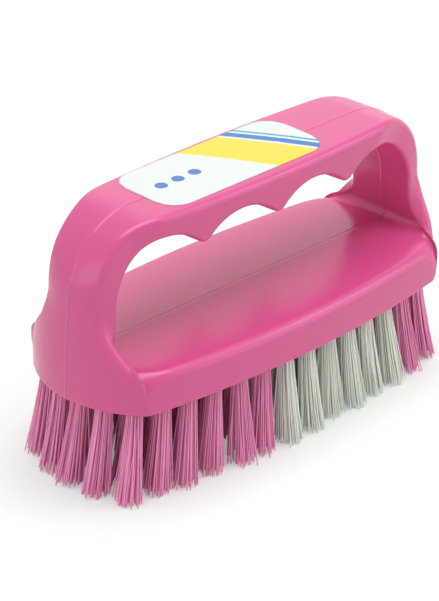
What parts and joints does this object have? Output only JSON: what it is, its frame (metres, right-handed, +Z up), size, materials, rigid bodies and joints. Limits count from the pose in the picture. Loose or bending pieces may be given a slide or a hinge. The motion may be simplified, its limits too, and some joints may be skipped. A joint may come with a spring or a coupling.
{
  "type": "hand scrubbing brush",
  "caption": "Hand scrubbing brush for nails and collars: bowed plastic block with a bow handle, finger scallops on the bar, and leaning tufts of pink and white bristle set in cross rows.",
  "frame": {"origin": "on the ground under the middle of the brush, which stands on its bristle tips", "axes": "+X along the brush towards the end with two pink rows beside the white ones, +Y across it, +Z up"},
  "size_m": [0.11, 0.0458, 0.0632],
  "materials": {
    "body_plastic": "glossy moulded polypropylene, pink",
    "label_paper": "coated paper sticker",
    "pink_bristle": "drawn plastic filament, pink, satin",
    "white_bristle": "drawn plastic filament, white, satin",
    "anchor_wire": "flat drawn wire"
  },
  "bodies": {
    "root": {"brush_body": "body_plastic", "label": "label_paper", "pink_tufts_01": "pink_bristle", "pink_tufts_02": "pink_bristle", "pink_tufts_03": "pink_bristle", "pink_tufts_04": "pink_bristle", "pink_tufts_05": "pink_bristle", "pink_tufts_06": "pink_bristle", "white_tufts_07": "white_bristle", "white_tufts_08": "white_bristle", "white_tufts_09": "white_bristle", "white_tufts_10": "white_bristle", "white_tufts_11": "white_bristle", "white_tufts_12": "white_bristle", "pink_tufts_13": "pink_bristle", "pink_tufts_14": "pink_bristle", "tuft_anchors_01": "anchor_wire", "tuft_anchors_02": "anchor_wire", "tuft_anchors_03": "anchor_wire", "tuft_anchors_04": "anchor_wire", "tuft_anchors_05": "anchor_wire", "tuft_anchors_06": "anchor_wire", "tuft_anchors_07": "anchor_wire", "tuft_anchors_08": "anchor_wire", "tuft_anchors_09": "anchor_wire", "tuft_anchors_10": "anchor_wire", "tuft_anchors_11": "anchor_wire", "tuft_anchors_12": "anchor_wire", "tuft_anchors_13": "anchor_wire", "tuft_anchors_14": "anchor_wire"}
  },
  "joints": []
}
